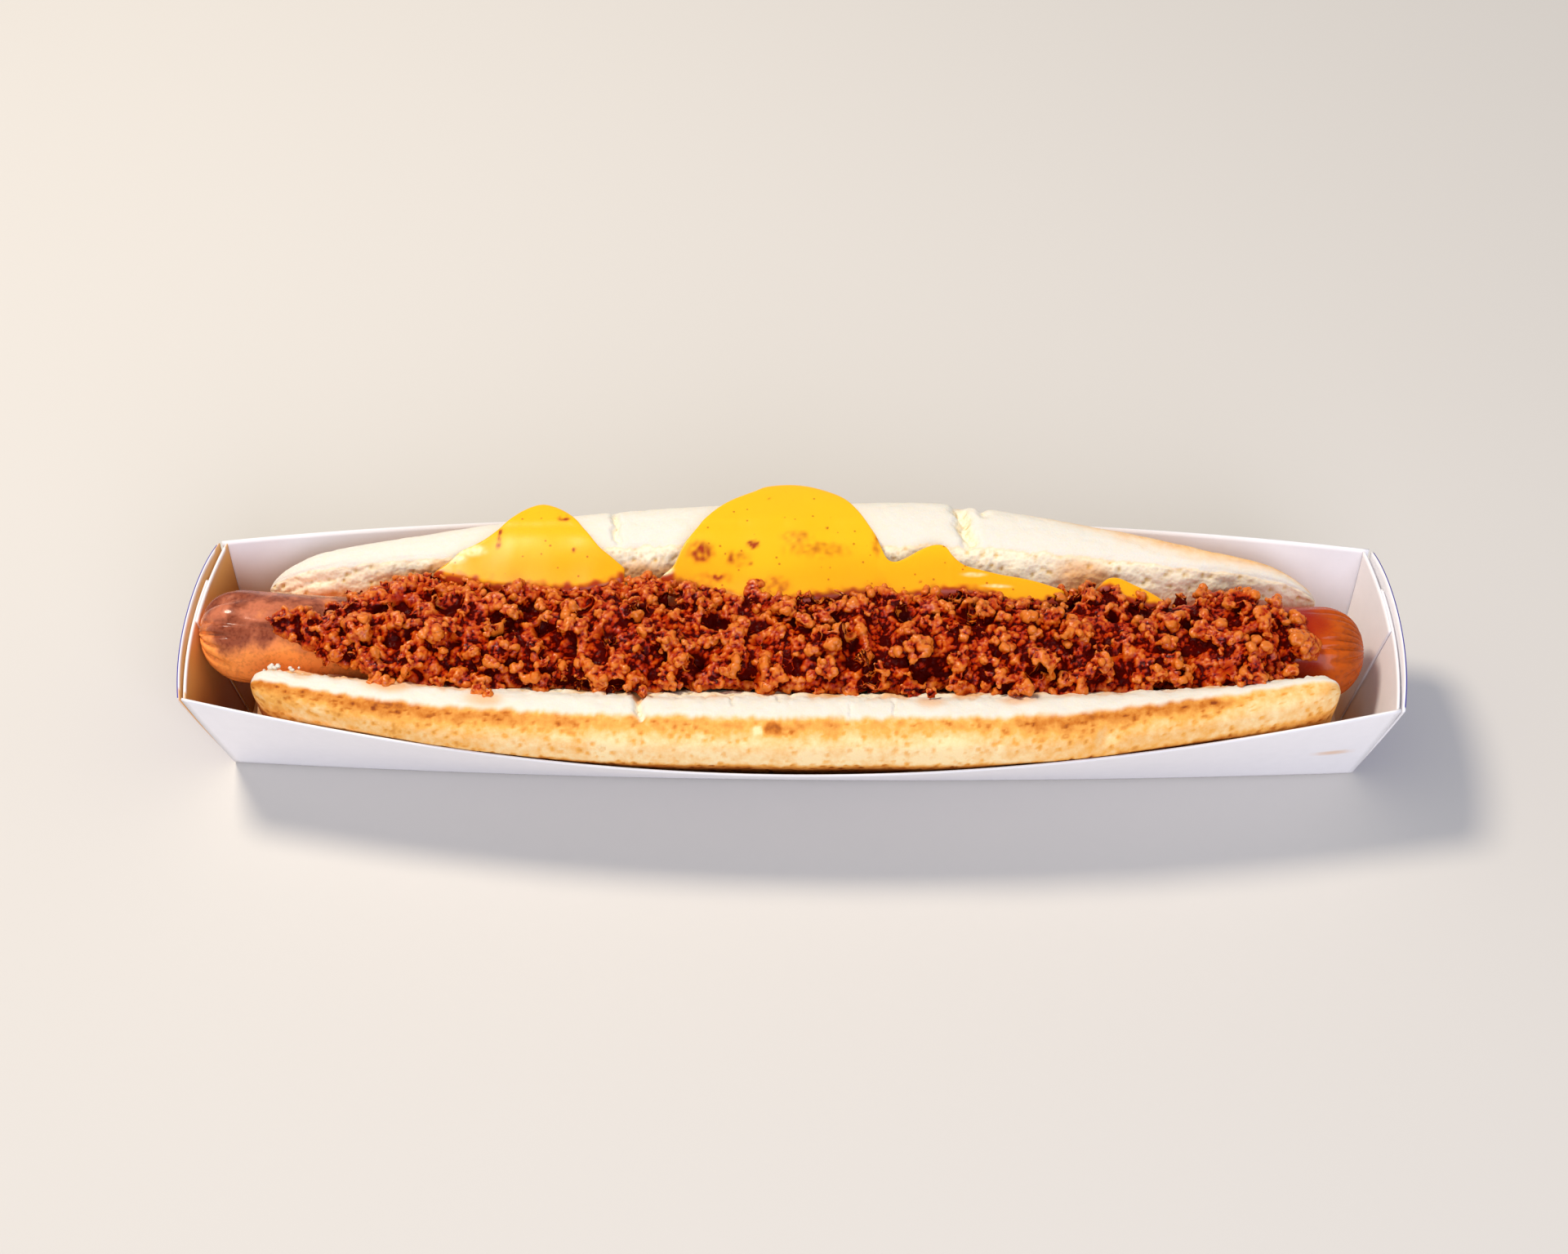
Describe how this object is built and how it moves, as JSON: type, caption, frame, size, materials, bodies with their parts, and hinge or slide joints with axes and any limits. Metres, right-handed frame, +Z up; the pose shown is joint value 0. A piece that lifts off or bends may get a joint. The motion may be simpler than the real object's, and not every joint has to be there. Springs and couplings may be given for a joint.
{
  "type": "hot dog",
  "caption": "Long hot dog in a slit bun, topped with ground-meat chili and melted cheese slices, lying in a shallow folded paper tray.",
  "frame": {"origin": "centre of the tray's flat underside", "axes": "+X along the sausage, to the right in the picture; +Y away from the viewer, towards the half of the bun that the cheese lies on; +Z up"},
  "size_m": [0.3166, 0.089, 0.0518],
  "materials": {
    "tray_paper": "white coated paperboard, bare inside, plain violet-blue print on the end panels",
    "bread": "soft baked bread, white where it was joined to its neighbours, golden and pitted lower down",
    "sausage_skin": "glossy grilled casing",
    "chili_sauce": "wet, glossy ground meat in red sauce",
    "melted_cheese": "smooth, soft sheen"
  },
  "bodies": {
    "root": {"tray": "tray_paper", "bun": "bread", "sausage": "sausage_skin", "chili": "chili_sauce", "cheese_left": "melted_cheese", "cheese_middle": "melted_cheese", "cheese_right": "melted_cheese"}
  },
  "joints": []
}
